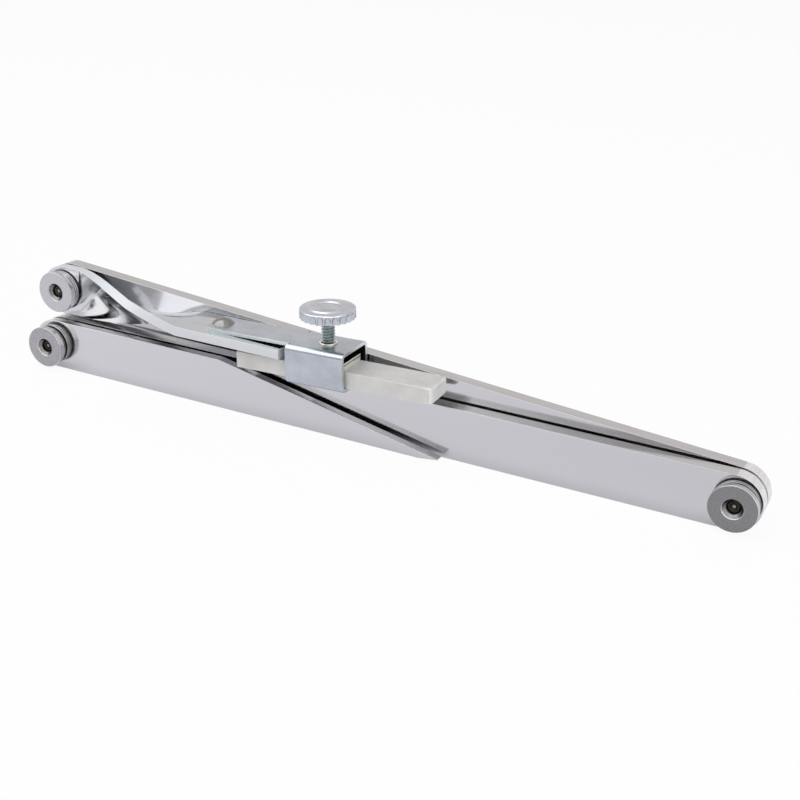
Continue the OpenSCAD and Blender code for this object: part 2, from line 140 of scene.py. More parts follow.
def extrude_by(x, y, z):
    """Pulls the selected edges or faces out, in mm."""
    bpy.ops.mesh.extrude_region_move(TRANSFORM_OT_translate={"value": (x * MM, y * MM, z * MM)})


def slice_at(x, y, z, normal, **settings):
    """Cuts the open piece along a plane through a place in mm."""
    choose_all()
    settings.setdefault("threshold", weld)
    bpy.ops.mesh.bisect(plane_co=(x * MM, y * MM, z * MM), plane_no=normal, **settings)


def turn_outward():
    """Makes all faces of the open piece point outwards."""
    choose_all()
    bpy.ops.mesh.normals_make_consistent(inside=False)


# %% Placing and finishing
def settle(piece, place):
    """Puts a piece at its place and applies that, so the object itself stays at the origin."""
    pick(piece)
    piece.matrix_world = place @ piece.matrix_world
    bpy.ops.object.transform_apply(location=True, rotation=True, scale=True)


def shift(x, y, z):
    """A plain move in mm, as a matrix."""
    return Matrix.Translation((x * MM, y * MM, z * MM))


def apply_modifier(piece, name, kind, **settings):
    """Adds one modifier, sets it and applies it."""
    pick(piece)
    modifier = piece.modifiers.new(name, kind)
    for key, value in settings.items():
        setattr(modifier, key, value)
    bpy.ops.object.modifier_apply(modifier=modifier.name)


def cut_with(piece, name, cutter):
    """Takes a cutter's shape out of a piece; the cutter is then thrown away."""
    apply_modifier(piece, name, "BOOLEAN", operation="DIFFERENCE", solver="EXACT", object=cutter)
    bpy.data.objects.remove(cutter)


def drill(piece, place, radius, depth):
    """Cuts a round hole."""
    clear_selection()
    bpy.ops.mesh.primitive_cylinder_add(vertices=64, radius=radius * MM, depth=depth * MM)
    cutter = bpy.context.object
    cutter.matrix_world = place
    cut_with(piece, "hole", cutter)


def cut_slot(piece, place, size):
    """Cuts a square slot; its place and size are in mm."""
    clear_selection()
    bpy.ops.mesh.primitive_cube_add(size=MM, location=[c * MM for c in place])
    cutter = bpy.context.object
    cutter.scale = size
    cut_with(piece, "slot", cutter)


def soften(piece, width, segments=3, angle=35):
    """Bevels the sharp edges and gives the faces clean shading."""
    limit = math.radians(angle)
    if width:
        how = {"limit_method": "ANGLE", "angle_limit": limit, "use_clamp_overlap": True}
        apply_modifier(piece, "edge bevel", "BEVEL", width=width * MM, segments=segments, **how)
    pick(piece)
    bpy.ops.object.shade_smooth_by_angle(angle=limit)
    apply_modifier(piece, "flat faces stay flat", "WEIGHTED_NORMAL", keep_sharp=True, weight=60)


# %% Handing over
def paint(piece, material, test):
    """Gives the faces that pass a test a finish of their own."""
    pick(piece)
    piece.data.materials.append(material)
    piece.active_material_index = len(piece.data.materials) - 1
    bpy.ops.object.mode_set(mode="EDIT")
    count = choose("FACE", test)
    bpy.ops.object.material_slot_assign()
    clear_selection()
    print(piece.name, "faces with", material.name, count)


def hand_over(piece, body, node, material):
    piece.data.materials.clear()
    piece.data.materials.append(material)
    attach(piece, body)
    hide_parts(node)
    faces = len(piece.data.polygons)
    size = [round(side / MM, 2) for side in piece.dimensions]
    print(piece.name, "faces", faces, "size in mm", size)


def lay(piece, place, body, node, slot, material, bevel=0.0, segments=3, angle=35):
    """Puts a piece at its place, finishes its edges and hands it over."""
    settle(piece, place)
    soften(piece, bevel, segments, angle)
    hand_over(piece, body, node, material)


# %% [markdown]
# ## Where the pieces are
# All numbers are in millimetres and repeat the solid model's values. The tool rests on the front bar's lower
# edge, X runs toward the fold pivot, and Y runs away from the viewer. Two frames come back often: one on each
# pivot, whose own Z points at the viewer, and one on the clamp, which slopes up by 1.9 degrees.

# %% Values
pivot_spacing = 266
pivot_x = 133.0
pivot_z = 9.525
end_radius = 9.525
end_setback = 1.075
bar_thickness = 4.95
end_gap = 1.195
fold_angle = math.asin((2 * end_radius + end_gap) / pivot_spacing)
holder_x = pivot_x - pivot_spacing * math.cos(fold_angle)
holder_z = pivot_z + pivot_spacing * math.sin(fold_angle)
front_face_y = -2.475
rear_front_y = 3.675
rear_back_y = 8.625
pointer_back_y = -4.075
pointer_front_y = -7.25
holder_back_y = 2.275
holder_front_y = -1.225
flat_y = -6.15
flat_rise = 0.4
screw_radius = 2.413
bore_radius = 2.463
rivet_hole_radius = 2.38
through = 12
tongue_start = 75.1
tongue_bend = 83.2
tongue_run = 26.5146
channel_length = 22.6
channel_width = 17.8
channel_height = 14.1
clamp_slope = math.radians(1.9)
sheet = 1.3
arm_thickness = 3.5
flat_mid_z = holder_z + flat_rise
tongue_top_z = flat_mid_z + arm_thickness / 2 + sheet
rivet_x = holder_x + tongue_start + 3.5
screw_station = tongue_run + 12.3


def on_pivot(x, y, z):
    """The frame of a pivot: its Z points toward the viewer."""
    return shift(x, y, z) @ Matrix.Rotation(math.radians(90), 4, "X")


in_clamp = shift(holder_x + tongue_bend, flat_y, tongue_top_z) @ Matrix.Rotation(-clamp_slope, 4, "Y")
to_clamp = in_clamp.inverted()
on_screw = in_clamp @ shift(screw_station, 0, 0)
print("holder pivot at", round(holder_x, 3), round(holder_z, 3))

# %% [markdown]
# ## Finishes
# First come the effects that several finishes share, each as a node group: fine grain along a rolled bar, the
# cloudy look of zinc plate, and a painted shade that darkens the colour deep in a piece's own corners. A
# picture of metal could be wrapped round the pieces, but noise in object coordinates never stretches, has no
# seams, and stays at its true scale on every piece.


# %% Node helpers
def opaque(colour):
    """A colour of three shares with full cover."""
    return (*colour, 1)


def add_math(tree, operation, first, second):
    """Adds a math node; each input is a socket or a number."""
    node = tree.nodes.new("ShaderNodeMath")
    node.operation = operation
    for index, value in enumerate((first, second)):
        if isinstance(value, (int, float)):
            node.inputs[index].default_value = value
        else:
            tree.links.new(value, node.inputs[index])
    return node.outputs[0]


def add_noise(tree, vector, scale, detail=2.0, roughness=0.6):
    """Adds a noise texture on a vector and gives its value."""
    node = tree.nodes.new("ShaderNodeTexNoise")
    node.inputs["Scale"].default_value = scale
    node.inputs["Detail"].default_value = detail
    node.inputs["Roughness"].default_value = roughness
    tree.links.new(vector, node.inputs["Vector"])
    return node.outputs["Fac"]


def stretched(tree, scale=(1, 1, 1), turn=0.0, place=(0, 0, 0)):
    """Object coordinates, moved, turned about Y and stretched."""
    source = tree.nodes.new("ShaderNodeTexCoord")
    mapping = tree.nodes.new("ShaderNodeMapping")
    mapping.inputs["Location"].default_value = place
    mapping.inputs["Rotation"].default_value = (0, turn, 0)
    mapping.inputs["Scale"].default_value = scale
    tree.links.new(source.outputs["Object"], mapping.inputs["Vector"])
    return mapping.outputs["Vector"]


def along_x(tree):
    """The X part of the object coordinates."""
    split = tree.nodes.new("ShaderNodeSeparateXYZ")
    tree.links.new(stretched(tree), split.inputs[0])
    return split.outputs["X"]


def add_ramp(tree, value, low, high, low_out=0.0, high_out=1.0):
    """Maps a value from one range to another and keeps it inside."""
    node = tree.nodes.new("ShaderNodeMapRange")
    for label, number in zip(("From Min", "From Max", "To Min", "To Max"), (low, high, low_out, high_out)):
        node.inputs[label].default_value = number
    tree.links.new(value, node.inputs["Value"])
    return node.outputs["Result"]


def tint(tree, base, factor, other):
    """Mixes two colours; each is a socket or a colour."""
    node = tree.nodes.new("ShaderNodeMix")
    node.data_type = "RGBA"
    for label, value in (("A", base), ("B", other)):
        socket = [s for s in node.inputs if s.name == label and s.type == "RGBA"][0]
        if isinstance(value, tuple):
            socket.default_value = value
        else:
            tree.links.new(value, socket)
    tree.links.new(factor, node.inputs["Factor"])
    return [s for s in node.outputs if s.type == "RGBA"][0]


def add_bump(tree, shader, height, strength, distance):
    """Feeds a height into the shader as a bump."""
    relief = tree.nodes.new("ShaderNodeBump")
    relief.inputs["Strength"].default_value = strength
    relief.inputs["Distance"].default_value = distance
    tree.links.new(height, relief.inputs["Height"])
    tree.links.new(relief.outputs["Normal"], shader.inputs["Normal"])


# %% Crevice shade
def new_group(name, inputs, outputs):
    """Starts a shader node group with the given sockets."""
    group = bpy.data.node_groups.new(name, "ShaderNodeTree")
    for label, kind, value in inputs:
        socket = group.interface.new_socket(label, in_out="INPUT", socket_type=kind)
        socket.default_value = value
    for label, kind in outputs:
        group.interface.new_socket(label, in_out="OUTPUT", socket_type=kind)
    start = group.nodes.new("NodeGroupInput")
    end = group.nodes.new("NodeGroupOutput")
    return group, start.outputs, end.inputs


plain_grey = (0.5, 0.5, 0.5, 1)
# Painted shade: ambient occlusion within the piece itself darkens the colour in its own hollows.
crevice, given, result = new_group(
    "crevice shade", [("Colour", "NodeSocketColor", plain_grey)], [("Colour", "NodeSocketColor")]
)
nook = crevice.nodes.new("ShaderNodeAmbientOcclusion")
nook.samples = 8
nook.only_local = True
nook.inputs["Distance"].default_value = 0.003
open_share = add_ramp(crevice, nook.outputs["AO"], 0.1, 0.7)
crevice.links.new(tint(crevice, (0.02, 0.02, 0.022, 1), open_share, given["Colour"]), result["Colour"])
print("group", crevice.name, "nodes", len(crevice.nodes))


# %% Rolled grain and plated cloud
def surface_group(name):
    """Starts an effect of two colours; it gives a colour, a roughness and a height."""
    return new_group(
        name,
        [
            ("Vector", "NodeSocketVector", (0, 0, 0)),
            ("Colour", "NodeSocketColor", plain_grey),
            ("Other colour", "NodeSocketColor", plain_grey),
            ("Roughness", "NodeSocketFloat", 0.3),
        ],
        [("Colour", "NodeSocketColor"), ("Roughness", "NodeSocketFloat"), ("Height", "NodeSocketFloat")],
    )


grain, given, result = surface_group("rolled grain")
fine = add_noise(grain, given["Vector"], 1.0, 3.0)
broad = add_noise(grain, given["Vector"], 0.13, 2.0, 0.5)
amount = add_ramp(grain, add_math(grain, "MULTIPLY", fine, broad), 0.12, 0.42)
grain.links.new(tint(grain, given["Other colour"], amount, given["Colour"]), result["Colour"])
spread = add_ramp(grain, fine, 0.3, 0.7, -0.05, 0.05)
grain.links.new(add_math(grain, "ADD", given["Roughness"], spread), result["Roughness"])
grain.links.new(fine, result["Height"])
print("group", grain.name, "nodes", len(grain.nodes))

cloud, given, result = surface_group("plated cloud")
slow = add_noise(cloud, given["Vector"], 160.0, 3.0)
speck = add_noise(cloud, given["Vector"], 1400.0)
patches = add_ramp(cloud, slow, 0.35, 0.68)
cloud.links.new(tint(cloud, given["Colour"], patches, given["Other colour"]), result["Colour"])
dull = add_math(cloud, "ADD", given["Roughness"], add_ramp(cloud, slow, 0.3, 0.7, -0.06, 0.08))
grit = add_ramp(cloud, speck, 0.3, 0.7, -0.03, 0.03)
cloud.links.new(add_math(cloud, "ADD", dull, grit), result["Roughness"])
cloud.links.new(speck, result["Height"])
print("group", cloud.name, "nodes", len(cloud.nodes))


# %% Finish helpers
def new_finish(name, metallic, roughness):
    """Starts a finish and gives its tree and its shader."""
    finish = bpy.data.materials.new(name)
    finish.use_nodes = True
    tree = finish.node_tree
    shader = tree.nodes["Principled BSDF"]
    shader.inputs["Metallic"].default_value = metallic
    shader.inputs["Roughness"].default_value = roughness
    return finish, tree, shader


def lay_effect(tree, shader, group, vector, colours, roughness, bump, distance):
    """Feeds a shared effect into the shader's colour, roughness and bump, and gives the effect's node."""
    node = tree.nodes.new("ShaderNodeGroup")
    node.node_tree = group
    tree.links.new(vector, node.inputs["Vector"])
    node.inputs["Colour"].default_value = opaque(colours[0])
    node.inputs["Other colour"].default_value = opaque(colours[1])
    node.inputs["Roughness"].default_value = roughness
    add_bump(tree, shader, node.outputs["Height"], bump, distance)
    # Painted shade: the crevice shade group darkens the colour in the piece's own hollows.
    shade = tree.nodes.new("ShaderNodeGroup")
    shade.node_tree = crevice
    tree.links.new(node.outputs["Colour"], shade.inputs["Colour"])
    tree.links.new(shade.outputs["Colour"], shader.inputs["Base Color"])
    tree.links.new(node.outputs["Roughness"], shader.inputs["Roughness"])
    return node


# %% [markdown]
# ### Satin aluminium of the long bars
# The bars are drawn aluminium, cut from flat stock. Their wide faces are an even pale grey with a trace of
# violet and mirror softly, and a fine grain runs lengthwise. The grain is noise squeezed across the bar and
# stretched along it. The milled edges are a little warmer, and the sanded round ends are brighter, with the
# grain across; their tone gives way to that of the edges where the round part begins.

# %% Bar and arm finishes
def grained(name, scale, colours, roughness, bump, turn=0.0, start_colour=None, metallic=1.0):
    """A drawn or ground finish with a stretched grain; a start colour gives way to it at a bar's end."""
    finish, tree, shader = new_finish(name, metallic, roughness)
    vector = stretched(tree, scale, turn)
    effect = lay_effect(tree, shader, grain, vector, colours, roughness, bump, 0.00002)
    if start_colour:
        from_middle = add_math(tree, "ABSOLUTE", along_x(tree), 0.0)
        far = add_ramp(tree, from_middle, 0.131, 0.134)
        start = tint(tree, opaque(start_colour), far, opaque(colours[0]))
        tree.links.new(start, effect.inputs["Colour"])
    return finish


face_colours = (0.62, 0.618, 0.635), (0.605, 0.603, 0.62)
edge_colours = (0.66, 0.65, 0.65), (0.56, 0.55, 0.55)
end_colours = (0.98, 0.98, 0.98), (0.8, 0.8, 0.8)
taper_colours = (0.5, 0.5, 0.51), (0.36, 0.36, 0.37)
arm_colours = (0.63, 0.64, 0.665), (0.61, 0.62, 0.645)
arm_edge_colours = (0.68, 0.695, 0.73), (0.63, 0.645, 0.67)


def bar_finishes(name, turn):
    """The finishes of a bar's wide faces, of its cut edges and of its sanded round ends."""
    return (
        grained(name + "_face", (60, 900, 900), face_colours, 0.13, 0.004, turn),
        grained(name + "_edge", (10, 1500, 1500), edge_colours, 0.2, 0.04, turn),
        grained(name + "_end", (2600, 60, 2600), end_colours, 0.28, 0.08, turn, edge_colours[0]),
    )


front_finishes = bar_finishes("satin_front", 0.0)
rear_finishes = bar_finishes("satin_rear", -fold_angle)
taper_edge = grained("taper_edge_finish", (10, 1500, 1500), taper_colours, 0.2, 0.04)
bright_arm = grained("bright_arm_finish", (60, 700, 700), arm_colours, 0.1, 0.003)
arm_edge = grained("arm_edge_finish", (40, 2400, 2400), arm_edge_colours, 0.5, 0.05, metallic=0.3)
print("finishes:", [finish.name for finish in front_finishes + rear_finishes])

# %% [markdown]
# ### Zinc plate and plain steel
# The clamp, its screw and its knob are steel with a bluish zinc plate. The plate is bright but a little
# cloudy, so the group shifts the colour and the roughness in soft patches and adds a fine grit. The same
# group, with darker colours, gives the plain steel of the pivots, and the near-black painted shade deep in
# the pivots' holes and inside the clamp's channel.

# %% Plated and plain steel finishes
def clouded(name, colour, other, roughness, bump=0.1, metallic=1.0):
    """A cloudy plated, plain or oiled metal finish."""
    finish, tree, shader = new_finish(name, metallic, roughness)
    lay_effect(tree, shader, cloud, stretched(tree), (colour, other), roughness, bump, 0.00003)
    return finish


zinc_plate = clouded("zinc_plate_finish", (0.53, 0.565, 0.61), (0.46, 0.49, 0.53), 0.26, 0.06)
# Cut edges: a greenish tone of their own, made brighter as a painted highlight.
edge_tone_and_highlight = clouded("zinc_cut_edge_and_highlight_finish", (0.74, 0.8, 0.79), (0.6, 0.67, 0.66), 0.3)
zinc_knob = clouded("zinc_knob_finish", (0.64, 0.665, 0.7), (0.52, 0.55, 0.59), 0.26)
zinc_thread = clouded("zinc_thread_finish", (0.5, 0.57, 0.56), (0.3, 0.35, 0.34), 0.16)
bush_cream = clouded("bush_finish", (0.86, 0.85, 0.76), (0.7, 0.7, 0.62), 0.18)
plate_steel = clouded("pressure_plate_finish", (0.88, 0.87, 0.83), (0.7, 0.69, 0.65), 0.4, metallic=0.35)
rivet_steel = clouded("rivet_finish", (0.28, 0.27, 0.27), (0.2, 0.185, 0.185), 0.18, 0.05)
washer_steel = clouded("washer_finish", (0.5, 0.5, 0.51), (0.3, 0.3, 0.31), 0.22)
spring_steel = clouded("spring_finish", (0.3, 0.28, 0.27), (0.15, 0.135, 0.13), 0.24)
screw_steel = clouded("screw_finish", (0.34, 0.33, 0.31), (0.2, 0.19, 0.17), 0.24)
# Painted shade: a near-black colour for the threaded holes of the disc nuts and the screw ends deep in them.
hole_painted_shade = clouded("hole_painted_shade_finish", (0.045, 0.038, 0.03), (0.02, 0.017, 0.014), 0.16)
# Painted shade: a near-black colour for the inside of the clamp's channel and the hidden faces of the
# pressure plate.
channel_painted_shade = clouded("channel_painted_shade_finish", (0.07, 0.07, 0.055), (0.04, 0.04, 0.03), 0.4)
disc_side = clouded("disc_side_finish", (0.66, 0.655, 0.66), (0.42, 0.415, 0.42), 0.22, 0.2)
# Painted highlight on the discs' rounded front rims.
rim_highlight = clouded("disc_rim_painted_highlight", (0.6, 0.6, 0.62), (0.4, 0.4, 0.41), 0.2)
# Painted shade in the bevelled mouths of the disc holes.
mouth_shade = clouded("disc_mouth_painted_shade", (0.27, 0.27, 0.275), (0.12, 0.12, 0.12), 0.26)
print("plated and plain steel finishes made")

# %% [markdown]
# ### Turned disc nuts
# The three disc nuts were faced on a lathe, which leaves fine rings that catch the light. A Wave texture in
# ring form could draw them, but it is too even. Noise that reads only the distance from the pivot gives rings
# of uneven width and depth, and a second noise adds fine specks. Each disc also gets its own painted tone for
# how brightly it catches the light: lightest at the holder pivot, darkest at the fold pivot.


# %% Disc finishes
def disc_finish(name, x, z, colour):
    """Turned steel with fine rings round a pivot at x and z, in mm."""
    finish, tree, shader = new_finish(name, 1.0, 0.34)
    length = tree.nodes.new("ShaderNodeVectorMath")
    length.operation = "LENGTH"
    tree.links.new(stretched(tree, (1, 0, 1), place=(-x * MM, 0, -z * MM)), length.inputs[0])
    distance = tree.nodes.new("ShaderNodeCombineXYZ")
    tree.links.new(length.outputs["Value"], distance.inputs["X"])
    rings = add_math(tree, "MULTIPLY", add_noise(tree, distance.outputs["Vector"], 5200), 0.4)
    specks = add_math(tree, "MULTIPLY", add_noise(tree, stretched(tree), 2600), 0.6)
    both = add_math(tree, "ADD", rings, specks)
    tone = add_ramp(tree, both, 0.36, 0.62)
    darker = tuple(c * 0.55 for c in colour)
    tree.links.new(tint(tree, opaque(darker), tone, opaque(colour)), shader.inputs["Base Color"])
    add_bump(tree, shader, both, 0.2, 0.00003)
    return finish


# Painted light and shade: one steel, given a lighter or darker tone at each pivot.
disc_lit_tones = {
    "fold": disc_finish("disc_fold_finish", pivot_x, pivot_z, (0.33, 0.325, 0.33)),
    "pointer": disc_finish("disc_pointer_finish", -pivot_x, pivot_z, (0.5, 0.48, 0.505)),
    "holder": disc_finish("disc_holder_finish", holder_x, holder_z, (0.69, 0.68, 0.7)),
}
print("disc finishes:", len(disc_lit_tones))

# %% [markdown]
# ### Soapstone
# The stick is sawn talc: matt, off-white with a trace of green, with soft grey clouds and small pits. It is
# not a metal, so the colour itself carries the look. Where the stick is rubbed, at its end and its corners,
# the stone is paler, so those faces get a lighter version of the finish.


# %% Stone finishes
def stone_finish(name, paler):
    """Clouded and pitted stone; its colours are made paler by a factor."""
    finish, tree, shader = new_finish(name, 0.0, 0.62)
    where = stretched(tree)
    tones = [
        tuple(min(1, c * paler) for c in (*tone, 1))
        for tone in ((0.66, 0.652, 0.642), (0.54, 0.534, 0.518), (0.42, 0.42, 0.38))
    ]
    mist = add_ramp(tree, add_noise(tree, where, 120, 4), 0.35, 0.7)
    pits = add_noise(tree, where, 1800, 3, 0.7)
    spots = add_ramp(tree, pits, 0.6, 0.75, 0.0, 0.35)
    misty = tint(tree, tones[0], mist, tones[1])
    tree.links.new(tint(tree, misty, spots, tones[2]), shader.inputs["Base Color"])
    add_bump(tree, shader, pits, 0.25, 0.00008)
    return finish


sawn_stone = stone_finish("soapstone_finish", 1.0)
worn_stone = stone_finish("worn_soapstone_finish", 1.25)
print("stone finishes:", sawn_stone.name, worn_stone.name)

# %% [markdown]
# ## The two long bars
# Each bar is flat stock with rounded ends and one hole at each end. It could be drawn as an outline and
# extruded, but a half-round end is quickest from a cylinder: cut it in half, pull the cut face out to the
# bar's middle, and mirror the half. The second bar is a copy, turned about the fold pivot.


# %% A half-round end
def half_round(name, thickness, x, side):
    """A half disc whose flat cut face is ready to be pulled out; side is where the round part is."""
    clear_selection()
    bpy.ops.mesh.primitive_cylinder_add(
        vertices=96, radius=end_radius * MM, depth=thickness * MM, rotation=(math.radians(90), 0, 0)
    )
    bpy.ops.object.transform_apply(location=True, rotation=True, scale=True)
    piece = open_piece(name)
    slice_at(0, 0, 0, (side, 0, 0), use_fill=True, clear_inner=True)
    choose_all()
    move_by(x, 0, 0)
    choose("FACE", lambda f: f.normal.x * side < -0.9)
    return piece


# %% Front bar
half_length = pivot_x - end_setback
front_bar = half_round("long_bar_front", bar_thickness, half_length, 1)
extrude_by(-half_length, 0, 0)
bpy.ops.mesh.delete(type="ONLY_FACE")
apply_modifier(front_bar, "left half", "MIRROR", use_axis=(True, False, False), merge_threshold=weld)
settle(front_bar, shift(0, 0, pivot_z))
for end in (-pivot_x, pivot_x):
    drill(front_bar, on_pivot(end, 0, pivot_z), bore_radius, through)
soften(front_bar, 0.08)
print("front bar", [round(side / MM, 2) for side in front_bar.dimensions])

# %% Rear bar
pick(front_bar)
bpy.ops.object.duplicate()
rear_bar = bpy.context.object
rear_bar.name = "long_bar_rear"
behind = shift(0, rear_front_y - front_face_y, 0)
fold_pivot = shift(pivot_x, 0, pivot_z)
settle(rear_bar, behind @ fold_pivot @ Matrix.Rotation(fold_angle, 4, "Y") @ fold_pivot.inverted())


def finish_bar(piece, node, finishes, left, right):
    """Hands over a bar or the pointer; its cut edges, and the round ends beyond left and right, differ."""
    hand_over(piece, node, node, finishes[0])
    paint(piece, finishes[1], lambda f: abs(f.normal.y) < 0.8)
    paint(piece, finishes[2], lambda f: abs(f.normal.y) < 0.8 and not left <= middle(f).x <= right)


finish_bar(front_bar, "front_bar", front_finishes, -pivot_x, pivot_x - 2)
finish_bar(rear_bar, "rear_bar", rear_finishes, holder_x, pivot_x - 2)

# %% [markdown]
# ## The pointer arm
# The pointer is one eighth inch stock with a round end, ground to a long taper. Its lower edge stays straight
# until just before the point. The cut face of a half-round end is pulled out in three steps, and each step is
# squeezed toward the lower edge. The ground taper has a darker finish of its own.


# %% Pointer
taper_start, taper_end, belly = 77.5, 166.4, 158.9
taper_end_height, tip_height, tip_rise = 1.15, 0.25, 0.9
pointer_height = 2 * end_radius
pointer = half_round("pointer_blade", 3.175, end_setback, -1)


def squeeze(share):
    """Squeezes the selected faces toward the lower edge."""
    bpy.ops.transform.resize(value=(1, 1, share), center_override=(0, 0, -end_radius * MM))


extrude_by(taper_start - end_setback, 0, 0)
slope = (taper_end_height - pointer_height) / (taper_end - taper_start)
belly_height = pointer_height + slope * (belly - taper_start)
extrude_by(belly - taper_start, 0, 0)
squeeze(belly_height / pointer_height)
extrude_by(taper_end - belly, 0, 0)
squeeze(tip_height / belly_height)
move_by(0, 0, tip_rise)
settle(pointer, shift(-pivot_x, (pointer_back_y + pointer_front_y) / 2, pivot_z))
drill(pointer, on_pivot(-pivot_x, pointer_front_y, pivot_z), bore_radius, through)
soften(pointer, 0.16)
finish_bar(pointer, "pointer_arm", front_finishes, -pivot_x, pivot_x)
paint(pointer, taper_edge, lambda f: f.normal.z > 0.8 and middle(f).x > taper_start - 0.1 - pivot_x)

# %% [markdown]
# ## The twisted arm
# The holder arm is a flat strip, twisted by a quarter turn so that its far end lies flat. A Simple Deform
# modifier could twist it evenly, but a hand-bent strip starts and ends its twist gently and also leans
# sideways. So the cut face is pulled out in many short steps, and each step is turned and moved a little. The
# strip's narrow sides are duller than its wide ones and get a finish of their own.

# %% Holder arm
twist_start, twist_end, lean_end, arm_length = 8.3, 64.0, 42.0, 107.6
twist_steps = 52
twist_ease = 0.2


def ease(u):
    """A share from 0 to 1 that starts and ends a little more gently than it runs."""
    return twist_ease * u * u * (3 - 2 * u) + (1 - twist_ease) * u


def station(u):
    """Turn in degrees and middle of the strip at a share of the twist."""
    x = twist_start + (twist_end - twist_start) * u
    lean = ease(min(1, (x - twist_start) / (lean_end - twist_start)))
    start_y = (holder_back_y + holder_front_y) / 2
    return 90 * ease(u), (x, start_y + (flat_y - start_y) * lean, flat_rise * lean)


arm = half_round("twisted_arm", arm_thickness, end_setback, -1)
before_turn, before = station(0)
choose_all()
move_by(0, before[1], 0)
choose(
    "EDGE",
    lambda e: abs(middle(e).x - end_setback) < 0.01 and abs(middle(e).z) < 0.01 and e.calc_length() > 0.018,
)
bpy.ops.mesh.subdivide(number_cuts=7)
choose("FACE", lambda f: f.normal.x > 0.9)
extrude_by(before[0] - end_setback, 0, 0)
for step in range(1, twist_steps + 1):
    here_turn, here = station(step / twist_steps)
    extrude_by(*(new - old for new, old in zip(here, before)))
    bpy.ops.transform.rotate(
        value=math.radians(before_turn - here_turn),
        orient_axis="X",
        center_override=[c * MM for c in here],
    )
    before_turn, before = here_turn, here
extrude_by(arm_length - twist_end, 0, 0)
settle(arm, shift(holder_x, 0, holder_z))
drill(arm, on_pivot(holder_x, holder_front_y, holder_z), bore_radius, through)
drill(arm, shift(rivet_x, flat_y, flat_mid_z), rivet_hole_radius, through)
soften(arm, 0.2, angle=40)
hand_over(arm, "holder_arm", "holder_arm", bright_arm)


def on_arm_edge(face):
    """Tells the strip's narrow sides from its wide ones, whatever the turn at that place."""
    share = (middle(face).x - holder_x - twist_start) / (twist_end - twist_start)
    turn = math.radians(station(min(1, max(0, share)))[0])
    return abs(face.normal.y * math.cos(turn) + face.normal.z * math.sin(turn)) < 0.75


paint(arm, arm_edge, on_arm_edge)

# %% [markdown]
# ## The clamp
# The clamp is one piece of folded sheet: a narrow tongue riveted to the arm, and a four-sided channel round
# the stick with two lips below. It is modelled the way it is made. A flat plane gets its side edges pulled
# down and in, the fold edges are bevelled to the bend radius, and Solidify gives it the sheet's thickness.
# Its cut edges are brighter than its faces, partly a greenish tone of their own and partly a painted
# highlight, and the inside of the channel gets a near-black painted shade.

# %% Clamp channel and tongue
half_width = channel_width / 2
tongue_half = 6.35
lip_width = 5.7
bend_radius = 2.2
tongue_flat = 8.1
channel_end = tongue_run + channel_length
clear_selection()
bpy.ops.mesh.primitive_plane_add(size=MM)
saddle = open_piece("clamp_channel")
bpy.ops.transform.resize(value=(channel_length, channel_width, 1))
move_by(tongue_run + channel_length / 2, 0, 0)
for y in (-tongue_half, tongue_half):
    slice_at(0, y, 0, (0, 1, 0))
for side in (-1, 1):
    choose("EDGE", lambda e: abs(middle(e).y - side * half_width) < 0.01)
    extrude_by(0, 0, -channel_height)
    extrude_by(0, -side * lip_width, 0)
choose("EDGE", lambda e: abs(abs(middle(e).y) - half_width) < 0.01 and e.calc_length() > 0.02)
bpy.ops.mesh.bevel(offset=bend_radius * MM, segments=8, profile=0.5)
choose("EDGE", lambda e: abs(middle(e).x - tongue_run) < 0.01 and abs(middle(e).y) < 0.01)
extrude_by(-tongue_run, 0, 0)
extrude_by(-tongue_flat * math.cos(clamp_slope), 0, tongue_flat * math.sin(clamp_slope))
choose("VERT", lambda v: v.co.x < -0.005)
bpy.ops.mesh.bevel(offset=1.0 * MM, segments=4, affect="VERTICES")
turn_outward()
print("clamp sheet faces", len(bmesh.from_edit_mesh(saddle.data).faces))

# %% Clamp thickness, notches and holes
if choose("FACE", lambda f: abs(middle(f).z) < 0.01 and f.normal.z < 0):
    choose_all()
    bpy.ops.mesh.flip_normals()
apply_modifier(saddle, "sheet", "SOLIDIFY", thickness=sheet * MM, offset=-1, use_even_offset=True)
notch_side = 6.8
bush_hole_radius = 2.98
for side in (-1, 1):
    cut_slot(saddle, (tongue_run + 0.05, side * notch_side, -0.75), (2.1, 0.9, 2.5))
drill(saddle, shift(screw_station, 0, 0), bush_hole_radius, through)
settle(saddle, in_clamp)
drill(saddle, shift(rivet_x, flat_y, tongue_top_z), rivet_hole_radius, through)
soften(saddle, 0.16, angle=40)
hand_over(saddle, "holder_arm", "clamp_saddle", zinc_plate)


def on_sheet_edge(face):
    """Tells the channel's mouth, the tongue's sides and its round end from the sheet's faces."""
    x, y = middle(face).x - holder_x, middle(face).y - flat_y
    mouth = face.normal.x > 0.8 and x > tongue_bend + channel_end - 1
    sides = abs(face.normal.y) > 0.8 and abs(y) < notch_side and x < tongue_bend + tongue_run
    return mouth or sides or (face.normal.x < -0.3 and x < tongue_start + 1.5)


def inside_channel(face):
    """Tells the channel's inner faces by their place in the clamp's own frame."""
    spot = to_clamp @ (middle(face) * MM) / MM
    return (
        tongue_run - 0.1 < spot.x < channel_end - 0.2
        and abs(spot.y) < half_width - sheet + 0.05
        and sheet - channel_height - 0.05 < spot.z < 0.05 - sheet
    )


# The cut edges get their greenish tone, partly a painted highlight.
paint(saddle, edge_tone_and_highlight, on_sheet_edge)
# Painted shade: the channel's inner faces get the near-black colour.
paint(saddle, channel_painted_shade, inside_channel)

# %% [markdown]
# ## Turned pieces
# Discs, washers, spacers, the rivet, the bush and the screw heads are all round about one axis. Each could
# start as a cylinder with inset and extruded caps, but a turned part is its outline spun round, as on a
# lathe. A plane is merged to one point, the point is drawn along the outline, and the outline is spun.


